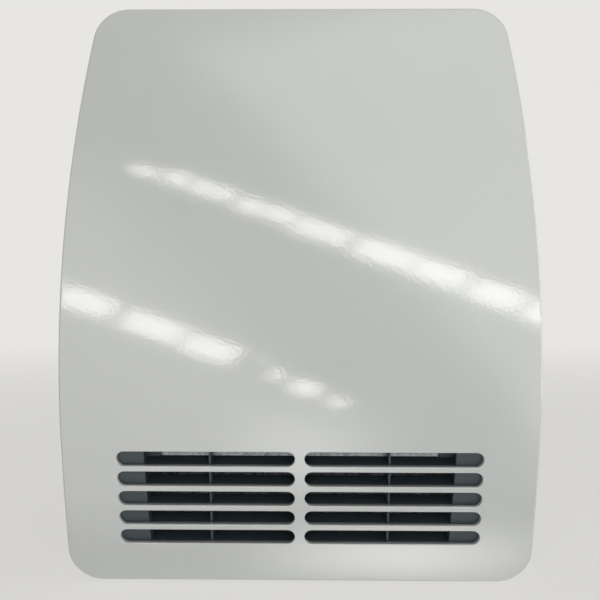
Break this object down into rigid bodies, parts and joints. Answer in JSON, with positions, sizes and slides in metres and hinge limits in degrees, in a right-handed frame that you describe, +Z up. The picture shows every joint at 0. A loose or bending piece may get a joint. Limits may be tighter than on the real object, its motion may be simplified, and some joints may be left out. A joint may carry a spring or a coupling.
{
  "type": "bathroom wall fan heater",
  "caption": "Down-draught wall fan heater with a bowed white steel cover, slotted air outlet, cross-flow blower, heating element, side controls and a wall bracket.",
  "frame": {"origin": "middle of the wall bracket's four screw holes, on the wall plane", "axes": "+Z up, +Y into the wall, so the front faces -Y and the controls are on +X"},
  "size_m": [0.385, 0.138, 0.4718],
  "materials": {
    "white_powder_coat": "semi-gloss white powder coat with slight orange peel",
    "anthracite_plastic": "fine-textured anthracite plastic",
    "black_plastic": "black plastic",
    "knob_plastic": "satin dark grey plastic",
    "cream_plastic": "heat-resistant cream plastic",
    "filter_mesh": "grey woven filter in a plastic frame",
    "galvanised": "spangled galvanised sheet",
    "zinc_steel": "bright zinc-plated steel",
    "ground_steel": "ground steel",
    "laminations": "stacked electrical sheet",
    "cast_zinc": "die-cast, matt",
    "rotor_metal": "turned rotor",
    "copper": "enamelled or bare copper",
    "bronze": "sintered bronze",
    "brass": "turned brass",
    "rubber": "black rubber",
    "mica": "mica board with ceramic ends",
    "element_wire": "resistance ribbon",
    "phenolic": "brown phenolic",
    "ceramic_white": "white ceramic",
    "lead_blue": "blue insulation",
    "lead_red": "red silicone insulation",
    "lead_black": "black insulation"
  },
  "bodies": {
    "heater": {"front_cover": "white_powder_coat", "rear_housing": "anthracite_plastic", "wall_bracket": "zinc_steel", "bracket_lock_screw": "zinc_steel", "cover_screws": "zinc_steel", "outlet_grille": "anthracite_plastic", "grille_screws": "zinc_steel", "intake_grille": "anthracite_plastic", "dust_filter": "filter_mesh", "air_scroll": "galvanised", "vortex_tongue": "galvanised", "blower_end_plate_left": "galvanised", "blower_end_plate_right": "galvanised", "blower_screws": "zinc_steel", "fan_bearing": "bronze", "fan_bearing_ring": "rubber", "motor_core": "laminations", "motor_bobbin": "cream_plastic", "motor_coil": "copper", "motor_bracket_inner": "cast_zinc", "motor_bracket_outer": "cast_zinc", "motor_bearings": "bronze", "motor_bushes": "rubber", "motor_bolts": "zinc_steel", "motor_nuts": "zinc_steel", "heater_frame": "mica", "heating_ribbons": "element_wire", "heater_terminals": "brass", "heater_screws": "zinc_steel", "thermal_cutout": "phenolic", "thermal_fuse": "ceramic_white", "fuse_clip": "zinc_steel", "control_panel": "anthracite_plastic", "control_panel_screws": "zinc_steel", "thermostat_body": "cream_plastic", "thermostat_sensor": "copper", "sensor_capillary": "copper", "timer_body": "cream_plastic", "power_switch_housing": "black_plastic", "terminal_block": "ceramic_white", "terminal_screws": "brass", "earth_screw": "brass", "cable_grommet": "rubber", "supply_leads": "lead_blue", "heater_leads": "lead_red", "motor_leads": "lead_black"},
    "fan": {"fan_wheel": "black_plastic", "fan_end_pin": "ground_steel", "motor_shaft": "ground_steel", "motor_rotor": "rotor_metal", "motor_cooling_fan": "black_plastic"},
    "thermostat": {"thermostat_knob": "knob_plastic", "thermostat_spindle": "ground_steel"},
    "timer": {"timer_knob": "knob_plastic", "timer_spindle": "ground_steel"},
    "rocker": {"power_switch_rocker": "knob_plastic"}
  },
  "joints": [
    {"name": "fan_spin", "type": "hinge", "parent": "heater", "child": "fan", "pos_m": [0, -0.066, -0.104], "axis": [1, 0, 0], "continuous": true},
    {"name": "thermostat_turn", "type": "hinge", "parent": "heater", "child": "thermostat", "pos_m": [0.16, -0.0355, 0.092], "axis": [-1, 0, 0], "range_deg": [-135, 135]},
    {"name": "timer_turn", "type": "hinge", "parent": "heater", "child": "timer", "pos_m": [0.16, -0.0355, 0.04], "axis": [-1, 0, 0], "range_deg": [0, 300]},
    {"name": "rocker_tip", "type": "hinge", "parent": "heater", "child": "rocker", "pos_m": [0.1585, -0.0355, -0.01], "axis": [0, 1, 0], "range_deg": [0, 14]}
  ]
}
